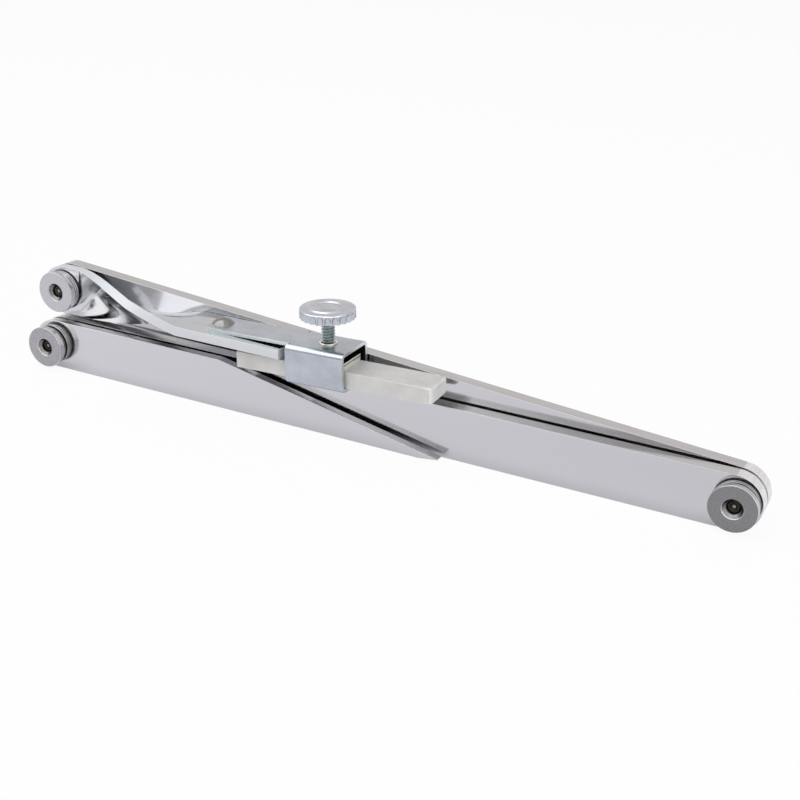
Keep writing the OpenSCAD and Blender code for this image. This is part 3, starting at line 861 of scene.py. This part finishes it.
# %% The lathe
def start_point(name, radius, height):
    """Starts a piece as one point."""
    clear_selection()
    bpy.ops.mesh.primitive_plane_add(size=MM)
    piece = open_piece(name)
    bpy.ops.mesh.merge(type="CENTER")
    move_by(radius, 0, height)
    return piece


def draw_on(moves):
    """Draws the point on by (radius, height) moves in mm."""
    for outward, upward in moves:
        move = (outward * MM, 0, upward * MM)
        bpy.ops.mesh.extrude_vertices_move(TRANSFORM_OT_translate={"value": move})


def join_ends():
    """Merges the points that fell on each other."""
    choose_all()
    bpy.ops.mesh.remove_doubles(threshold=weld)


def turned(name, outline, steps=96):
    """Spins a closed outline of (radius, height) points in mm about Z."""
    piece = start_point(name, *outline[0])
    ends = outline[1:] + outline[:1]
    draw_on([(end[0] - start[0], end[1] - start[1]) for start, end in zip(outline, ends)])
    join_ends()
    bpy.ops.mesh.spin(steps=steps, angle=2 * math.pi, center=(0, 0, 0), axis=(0, 0, 1))
    join_ends()
    turn_outward()
    return piece


def wind(piece, angle, rise, steps, **settings):
    """Carries an outline round Z while it rises, as in a thread, and opens the result."""
    settings.update(angle=angle, screw_offset=rise * MM, steps=steps, render_steps=steps)
    apply_modifier(piece, "winding", "SCREW", axis="Z", **settings)
    bpy.ops.object.mode_set(mode="EDIT")


def rounded(corners, radius, steps=3):
    """Rounds the outer corners of an outline; a corner is (radius, height, round it or not)."""
    outline = []
    count = len(corners)
    for index, (r, h, is_round) in enumerate(corners):
        if not is_round:
            outline.append((r, h))
            continue
        sides = []
        for other in (corners[index - 1], corners[(index + 1) % count]):
            dr, dh = other[0] - r, other[1] - h
            length = math.hypot(dr, dh)
            sides.append((dr / length, dh / length))
        for step in range(steps + 1):
            u = step / steps
            a, b = radius * (1 - u) ** 2, radius * u**2
            outline.append((r + a * sides[0][0] + b * sides[1][0], h + a * sides[0][1] + b * sides[1][1]))
    return outline


# %% Disc nuts, washers and spacers
disc_radius = 7.9375
disc_height = 2.4
mouth_radius = 3.45
ring_hole = 2.52


def disc_nut(name):
    """A round disc with a bevelled threaded hole."""
    corners = [(2.5, 0.0, False), (disc_radius, 0.0, True)]
    corners += [(disc_radius, disc_height, True), (mouth_radius, disc_height, True)]
    outline = rounded(corners, 0.28, 4)
    outline += [(2.32, 1.3), (2.18, 1.16), (2.36, 1.04), (2.36, 0.96), (2.18, 0.86), (2.5, 0.7)]
    return turned(name, outline)


def flat_ring(name, outer, height):
    """A plain washer with softly worn rims."""
    corners = [(ring_hole, 0, False), (outer, 0, True), (outer, height, True), (ring_hole, height, False)]
    return turned(name, rounded(corners, min(0.22, height * 0.3)))


def split_ring(name, height, lift):
    """A split spring washer: one turn of square wire that rises from one end to the other."""
    piece = start_point(name, 3.72, 0.12)
    wire = height - lift
    draw_on([(0.12, -0.12), (3.02, 0), (0.14, 0.12), (0, wire - 0.24)])
    draw_on([(-0.14, 0.12), (-3.02, 0), (-0.12, -0.12), (0, 0.24 - wire)])
    join_ends()
    wind(piece, math.radians(352), lift, 88)
    choose_all()
    bpy.ops.mesh.fill_holes(sides=8)
    turn_outward()
    settle(piece, Matrix.Rotation(math.radians(139), 4, "Z"))
    return piece


# %% Slotted screws
def pivot_screw(name, grip):
    """A pan-head screw: head behind the bar, shank toward the viewer."""
    outline = [(0, -2.7), (2.6, -2.62), (3.8, -2.3), (4.45, -1.6), (4.7, -0.7)]
    outline += [(4.7, -0.12), (4.58, 0), (screw_radius, 0)]
    outline += [(screw_radius, grip - 0.45), (1.9, grip - 0.06), (1.72, grip), (1.2, grip - 0.05)]
    outline += [(1.0, grip - 0.3), (0.65, grip - 0.34), (0.4, grip - 0.12), (0, grip - 0.02)]
    piece = turned(name, outline, 72)
    cut_slot(piece, (0, 0, -2.5), (12, 1.2, 1.8))
    return piece


# %% [markdown]
# ## The three pivots
# Each pivot is a stack: a screw from behind, a thin spacer between the two flat pieces, then a flat washer, a
# split spring washer and a disc nut in front. The stacks differ only in a few heights and in which two pieces
# they hold, so one loop lays them all. A disc's side and its bevelled mouth were cut with different tools;
# the side has a tone of its own, the mouth a painted shade, and the rounded rim a painted highlight. The
# threaded hole and the screw's end in it get a near-black painted shade, with the middle of the screw's end
# left lighter as a painted glint.

# %% Pivot stacks
spacer_radius, washer_radius = 8.4, 7.6
washer_height = 0.8
screw_recess = 1.6
stack_values = ("body", "x", "z", "screw_y", "spacer_y", "spacer", "face_y", "spring", "lift")
pivots = {
    "fold": ("front_bar", pivot_x, pivot_z, rear_back_y, rear_front_y, 1.2, front_face_y, 1.27, 0.22),
    "pointer": ("front_bar", -pivot_x, pivot_z, -front_face_y, front_face_y, 1.6, pointer_front_y, 2.1, 0.5),
    "holder": ("rear_bar", holder_x, holder_z, rear_back_y, rear_front_y, 1.4, holder_front_y, 0.6, 0.1),
}
for pivot, values in pivots.items():
    p = dict(zip(stack_values, values))
    x, z, face_y = p["x"], p["z"], p["face_y"]
    spring_y = face_y - washer_height

    def stack(piece, y, node, slot, material, *bevel, **how):
        """Lays a piece on the pivot, with its rear side at a depth y."""
        lay(piece, on_pivot(x, y, z), p["body"], pivot + node, slot, material, *bevel, **how)

    def reach(face):
        """Distance of a face from the pivot's axis, in mm."""
        return math.hypot(middle(face).x - x, middle(face).z - z)

    spacer = flat_ring(pivot + "_thin_spacer", spacer_radius, p["spacer"])
    stack(spacer, p["spacer_y"], "_spacer", "washer_steel", washer_steel)
    washer = flat_ring(pivot + "_washer", washer_radius, washer_height)
    stack(washer, face_y, "_flat_washer", "washer_steel", washer_steel)
    spring = split_ring(pivot + "_split_washer", p["spring"], p["lift"])
    stack(spring, spring_y, "_spring_washer", "spring_steel", spring_steel)
    disc = disc_nut(pivot + "_disc")
    stack(disc, spring_y - p["spring"], "_disc_nut", "disc_steel", disc_lit_tones[pivot], angle=30)
    paint(disc, disc_side, lambda f: reach(f) > disc_radius - 0.09)
    # Painted highlight on the rounded rim.
    paint(disc, rim_highlight, lambda f: reach(f) > 3.3 and 0.25 < -f.normal.y < 0.93)
    # Painted shade on the bevelled mouth.
    paint(disc, mouth_shade, lambda f: 2.5 < reach(f) < 3.3)
    # Painted shade in the threaded hole.
    paint(disc, hole_painted_shade, lambda f: reach(f) <= 2.5)
    grip = p["screw_y"] - face_y + washer_height + p["spring"] + disc_height - screw_recess
    screw = pivot_screw(pivot + "_slotted_screw", grip)
    stack(screw, p["screw_y"], "_screw", "screw_steel", screw_steel, 0.06, 2)
    screw_end = p["screw_y"] - grip
    # Painted shade on the screw's end in the hole; its middle keeps the lighter screw colour as a painted
    # glint.
    paint(screw, hole_painted_shade, lambda f: middle(f).y < screw_end + 1 and reach(f) > 0.6)

# %% [markdown]
# ## Rivet and bush
# The rivet's head is a low dome, with a flat foot below the arm. The bush is a short collar with a flared
# lip, through which the thumbscrew runs. Both have no straight side to extrude, so they are turned too.

# %% Rivet and bush
dome_width, dome_height, dome_steps = 4.1, 2.0, 8
foot_z = flat_mid_z - arm_thickness / 2
dome_radius = (dome_width**2 + dome_height**2) / (2 * dome_height)
dome = []
for step in range(dome_steps + 1):
    angle = math.asin(dome_width / dome_radius) * (1 - step / dome_steps)
    drop = dome_radius * (1 - math.cos(angle))
    dome.append((dome_radius * math.sin(angle), tongue_top_z + dome_height - drop))
outline = [(0, foot_z - 0.9), (3.6, foot_z - 0.9), (3.8, foot_z - 0.7)]
outline += [(3.8, foot_z), (2.35, foot_z), (2.35, tongue_top_z)] + dome
rivet = turned("dome_rivet", outline)
lay(rivet, shift(rivet_x, flat_y, 0), "holder_arm", "clamp_rivet", "rivet_steel", rivet_steel)

outline = [(2.47, -sheet), (2.95, -sheet), (2.95, 0), (3.1, 0), (3.25, 0.14), (3.25, 0.3)]
outline += [(3.2, 0.42), (3.08, 0.5), (2.92, 0.48), (2.7, 0.3), (2.47, 0.22)]
bush = turned("flared_bush", outline)
lay(bush, on_screw, "holder_arm", "clamp_bush", "zinc_screw", bush_cream)

# %% [markdown]
# ## Pressure plate
# A small plate lies on the stick and keeps the screw's foot from digging into it. Only its two ends show,
# with a fine groove across them. The groove could be cut, but it is enough to slice the block three times and
# draw the middle slice in a little. The screw's seat is drilled into the top.

# %% Pressure plate
stone_thickness = 5.9
stone_top = -channel_height + sheet + stone_thickness
plate_height = 2.7
plate_width = 11.6
plate_overhang, plate_inset = 0.8, 1
plate_length = channel_length + plate_overhang - plate_inset
plate_middle = tongue_run - plate_overhang + plate_length / 2
seat_gap = 0.01
seat_depth = 1.5
groove = 1.84
groove_half = 0.16


def block(name, size, x, z):
    """A block of a size in mm with its middle at x and z, still open."""
    clear_selection()
    bpy.ops.mesh.primitive_cube_add(size=MM)
    piece = open_piece(name)
    bpy.ops.transform.resize(value=size)
    move_by(x, 0, z)
    return piece


plate_size = (plate_length, plate_width, plate_height - seat_gap)
plate = block("pressure_block", plate_size, plate_middle, stone_top + (plate_height + seat_gap) / 2)
for height in (groove - groove_half, groove, groove + groove_half):
    slice_at(0, 0, stone_top + height, (0, 0, 1))
choose("VERT", lambda v: abs(v.co.z / MM - stone_top - groove) < 0.01)
bpy.ops.transform.resize(
    value=(1 - 0.5 / plate_length, 1 - 0.5 / plate_width, 1),
    center_override=(plate_middle * MM, 0, 0),
)
drill(plate, shift(screw_station, 0, stone_top + plate_height), bore_radius, 2 * seat_depth)
lay(plate, in_clamp, "pressure_plate", "pressure_plate", "zinc_plate", plate_steel, 0.1, angle=70)


def in_plate_shade(face):
    """Tells the plate's groove and all its faces but the ends, which stay bright."""
    height = (to_clamp @ (middle(face) * MM)).z / MM - stone_top
    return abs(face.normal.x) < 0.5 or abs(height - groove) < groove_half


# Painted shade: the plate's groove and every face but its two ends get the near-black colour.
paint(plate, channel_painted_shade, in_plate_shade)

# %% [markdown]
# ## Soapstone stick
# The stick is a sawn flat bar of stone, 12.7 by 5.9 mm. Its outer end runs a little askew and has lost its
# corners. A stone could be sculpted, but this one is almost square, so a block is enough: one side of its end
# is moved back, the two upright corners there are bevelled round, and then the upper and lower rims of the
# end. All other edges are only just broken.

# %% Soapstone stick
stick_start = 4.7
stick_length = 76.8
stick_width = 12.7
stick_mid = stone_top - stone_thickness / 2
stick_size = (stick_length, stick_width, stone_thickness)
stick = block("soapstone_stick", stick_size, stick_start + stick_length / 2, stick_mid)
choose("VERT", lambda v: v.co.x > 0.05 and v.co.y > 0)
move_by(-0.3, 0, 0)
choose("EDGE", lambda e: middle(e).x > 70 and abs(middle(e).y) > 6 and abs(middle(e).z - stick_mid) < 0.1)
bpy.ops.mesh.bevel(offset=1.3 * MM, segments=6)
choose("EDGE", lambda e: middle(e).x > 79.8 and abs(middle(e).z - stick_mid) > 2.9)
bpy.ops.mesh.bevel(offset=0.9 * MM, segments=4)
lay(stick, in_clamp, "soapstone", "soapstone", "soapstone", sawn_stone, 0.45, 4)
stone_axes = [in_clamp.to_3x3().col[i].copy() for i in range(3)]


def is_worn(face):
    """Tells the end face and the bevels from the flat sides."""
    along = [face.normal.dot(axis) for axis in stone_axes]
    return along[0] > 0.5 or max(abs(share) for share in along) < 0.97


paint(stick, worn_stone, is_worn)

# %% [markdown]
# ## Thumbscrew
# The screw has a real thread: one pitch of its outline is carried round and up by the Screw modifier, and the
# ends are cut off flat. The knob is turned first. Its flutes could be cut with cylinders, but on a fine mesh
# it is cleaner to press the points of its rim in, to the depth that a ball-ended cutter leaves.

# %% Threaded screw
pitch = 1.058
thread_depth = 0.6
thread_root = screw_radius - thread_depth
foot = stone_top + plate_height - seat_depth
knob_base = 9.3
knob_core = 2.4
screw_top = knob_base + knob_core
thread = start_point("thumb_thread", thread_root, foot - 2 * pitch)
flat, flank = 0.12 * pitch, 0.38 * pitch
draw_on([(0, flat), (thread_depth, flank), (0, flat), (-thread_depth, flank)])
turns = math.ceil((screw_top - foot) / pitch) + 4
wind(thread, 2 * math.pi, pitch, 32, iterations=turns, use_merge_vertices=True, merge_threshold=weld)
for height, keep in ((foot, 1), (screw_top, -1)):
    slice_at(0, 0, height, (0, 0, keep), use_fill=True, clear_inner=True, threshold=1e-7)
turn_outward()
lay(thread, on_screw, "thumbscrew", "thumbscrew_screw", "zinc_screw", zinc_thread, angle=50)

# %% Knob
rim = 9.75
knob_height = 3.5
shoulder = 0.5
knob_steps = 384
flute_heights = (1.98, 2.24, 2.48, 2.72, 2.93)
rim_rings = [(rim - 0.35, 0.0), (rim, 0.3)] + [(rim, height) for height in flute_heights]
outline = [(0, knob_core), (2.45, knob_core), (2.45, 0)] + rim_rings
for step in range(7):
    angle = math.radians(15 * step)
    outward, upward = shoulder * (1 - math.cos(angle)), shoulder * (1 - math.sin(angle))
    outline.append((rim - outward, knob_height - upward))
outline += [(7.0, 3.46), (6.75, 3.54), (6.45, 3.86), (6.15, 3.95), (5.5, 3.93)]
outline += [(5.2, 3.82), (4.9, 3.56), (4.6, 3.45), (4.1, 3.6), (3.8, 3.62), (3.5, 3.5), (0, 3.5)]
knob = turned("fluted_knob", outline, knob_steps)

# %% Flutes
flute_pitch = 15
flute_depth = 0.8
flute_cutter = 1.15
flute_centre = rim - flute_depth + flute_cutter
knob_step = 360 / knob_steps


def flute_radius(turn, height):
    """Radius of the flute's bottom at a turn from its middle, in radians; a ball end closes it above."""
    across = math.hypot(flute_centre * math.sin(turn), max(0, height - flute_heights[0]))
    if across > flute_cutter:
        return rim
    return flute_centre * math.cos(turn) - math.sqrt(flute_cutter**2 - across**2)


def in_flutes(vertex, radius, height, turn):
    """Tells the points of a ring that are at a turn in degrees from the middle of any flute."""
    off = math.degrees(math.atan2(vertex.co.y, vertex.co.x)) - turn
    off = abs((off + flute_pitch / 2) % flute_pitch - flute_pitch / 2)
    out = math.hypot(vertex.co.x, vertex.co.y) / MM
    return off < 0.25 and abs(out - radius) < 0.02 and abs(vertex.co.z / MM - height) < 0.02


pressed = 0
for radius, height in rim_rings:
    for phase in range(-7, 8):
        turn = phase * knob_step
        target = flute_radius(math.radians(turn), height)
        if target < radius - 0.001:
            pressed += choose("VERT", lambda v: in_flutes(v, radius, height, turn))
            share = target / radius
            bpy.ops.transform.resize(value=(share, share, 1), center_override=(0, 0, 0))
print("points pressed into flutes", pressed)
on_knob = in_clamp @ shift(screw_station, 0, knob_base)
lay(knob, on_knob, "thumbscrew", "thumbscrew_knob", "zinc_screw", zinc_knob, angle=40)

# %% [markdown]
# ## Studio
# The photo is a cut-out on white with soft light from above and the left. The floor and the world are white
# to the camera and in reflections; strong lamps could make them white too, but would burn out the stone. The
# floor keeps a trace of the tool's shadow. To the camera it is otherwise open, so an arm that swings below
# the resting edge still shows. In reflections it has a painted shadow close to the tool and is painted a
# little darker to the right.


# %% Floor
def seen_rays(tree):
    """The Light Path node, and a value of 1 for the rays that see a plain white studio."""
    rays = tree.nodes.new("ShaderNodeLightPath")
    seen = add_math(tree, "MAXIMUM", rays.outputs["Is Camera Ray"], rays.outputs["Is Glossy Ray"])
    return rays.outputs, add_math(tree, "MAXIMUM", seen, rays.outputs["Is Transmission Ray"])


def blend_shaders(tree, factor, first, second):
    """Mixes two shaders."""
    blend = tree.nodes.new("ShaderNodeMixShader")
    for socket, value in zip(blend.inputs, (factor, first.outputs[0], second.outputs[0])):
        tree.links.new(value, socket)
    return blend


clear_selection()
bpy.ops.mesh.primitive_plane_add(size=6)
floor = bpy.context.object
floor.name = "floor"
floor_finish, tree, shader = new_finish("floor_finish", 0.0, 0.9)
shader.inputs["Base Color"].default_value = (0.9, 0.9, 0.9, 1)
shader.inputs["Specular IOR Level"].default_value = 0
rays, seen = seen_rays(tree)
glow = tree.nodes.new("ShaderNodeEmission")
# Painted shadow: in reflections the floor glows less close to the tool.
close = tree.nodes.new("ShaderNodeAmbientOcclusion")
close.samples = 16
close.inputs["Distance"].default_value = 0.01
nearness = add_math(tree, "SUBTRACT", 1.0, close.outputs["AO"])
painted_shadow = add_math(tree, "MULTIPLY", nearness, 0.4)
painted_shadow = add_math(tree, "MULTIPLY", painted_shadow, rays["Is Glossy Ray"])
tree.links.new(add_math(tree, "SUBTRACT", 1.0, painted_shadow), glow.inputs["Strength"])
# Painted shade: in reflections the floor's glow gets darker toward the right.
fall = add_ramp(tree, along_x(tree), -0.16, 0.16, 1.0, 0.86)
grey = tree.nodes.new("ShaderNodeCombineColor")
for channel, amount in enumerate((1.0, 1.0, 1.05)):
    tree.links.new(add_math(tree, "MULTIPLY", fall, amount), grey.inputs[channel])
tree.links.new(tint(tree, (1, 1, 1, 1), rays["Is Glossy Ray"], grey.outputs[0]), glow.inputs["Color"])
share = add_math(tree, "MULTIPLY", seen, 0.85)
share = add_math(tree, "ADD", share, add_math(tree, "MULTIPLY", rays["Is Camera Ray"], 0.07))
clear = tree.nodes.new("ShaderNodeBsdfTransparent")
open_floor = blend_shaders(tree, rays["Is Camera Ray"], glow, clear)
blend = blend_shaders(tree, share, shader, open_floor)
tree.links.new(blend.outputs[0], tree.nodes["Material Output"].inputs["Surface"])
floor.data.materials.append(floor_finish)
print("floor", [round(side, 2) for side in floor.dimensions], "m")

# %% World
world = bpy.context.scene.world or bpy.data.worlds.new("studio")
bpy.context.scene.world = world
world.use_nodes = True
tree = world.node_tree
tree.nodes.clear()
lit, shown = (tree.nodes.new("ShaderNodeBackground") for _ in range(2))
for background, strength in ((lit, 0.45), (shown, 1.0)):
    background.inputs["Color"].default_value = (1, 1, 1, 1)
    background.inputs["Strength"].default_value = strength
blend = blend_shaders(tree, seen_rays(tree)[1], lit, shown)
end = tree.nodes.new("ShaderNodeOutputWorld")
tree.links.new(blend.outputs[0], end.inputs["Surface"])
print("world light", lit.inputs["Strength"].default_value)

# %% [markdown]
# ### Lamps and reflection cards
# Two large soft lamps light the stone and the duller faces. Polished metal shows mostly what it mirrors, so
# two cards that only reflections can see stand before and behind the tool, as a photographer would place
# them. The back card is a light grey. The front card is grey to the right and white to the left, with a
# narrow dark strip between, which gives the twisted arm its dark bands.


# %% Lamps
def soft_lamp(name, place, power):
    """A square soft lamp aimed at the tool's middle."""
    clear_selection()
    bpy.ops.object.light_add(type="AREA", location=place)
    lamp = bpy.context.object
    lamp.name = name
    lamp.data.size = 1.8
    lamp.data.energy = power
    lamp.rotation_euler = Vector(place).to_track_quat("Z", "Y").to_euler()
    print(name, "power", power)


soft_lamp("key lamp", (-0.6, -0.5, 1.2), 12)
soft_lamp("fill lamp", (0.9, -0.8, 0.7), 9)


# %% Reflection cards
def reflection_card(name, y, low, high, colour):
    """An upright glowing card that only shows in reflections; gives its node tree and its glow."""
    clear_selection()
    upright = (math.radians(90), 0, 0)
    bpy.ops.mesh.primitive_plane_add(size=1, location=(0, y, (low + high) / 2), rotation=upright)
    card = bpy.context.object
    card.name = name
    card.scale = (8, high - low, 1)
    bpy.ops.object.transform_apply(location=True, rotation=True, scale=True)
    for ray in ("camera", "diffuse", "transmission", "volume_scatter", "shadow"):
        setattr(card, "visible_" + ray, False)
    finish = bpy.data.materials.new(name)
    finish.use_nodes = True
    tree = finish.node_tree
    tree.nodes.clear()
    glow = tree.nodes.new("ShaderNodeEmission")
    glow.inputs["Color"].default_value = colour
    end = tree.nodes.new("ShaderNodeOutputMaterial")
    tree.links.new(glow.outputs[0], end.inputs["Surface"])
    card.data.materials.append(finish)
    print(name, "from", low, "to", high, "m")
    return tree, glow


reflection_card("back card", 1.5, 0.05, 2.6, (0.78, 0.76, 0.755, 1))
dark_strip = (0.1, 0.11, 0.13, 1)
tree, glow = reflection_card("front card", -1.5, 0.15, 1.4, dark_strip)
strip_middle, strip_half, strip_fade = -0.92, 0.14, 0.11
strip_right = strip_middle + strip_half
across = along_x(tree)
off = add_math(tree, "ABSOLUTE", add_math(tree, "SUBTRACT", across, strip_middle), 0.0)
fade = add_ramp(tree, off, strip_half, strip_half + strip_fade)
side = add_ramp(tree, across, strip_right, strip_right + 3 * strip_fade)
beside = tint(tree, (1.0, 1.0, 1.0, 1), side, (0.5, 0.49, 0.49, 1))
tree.links.new(tint(tree, dark_strip, fade, beside), glow.inputs["Color"])

bpy.context.scene.view_settings.view_transform = "Standard"

# %% Clearing the selection
clear_selection()
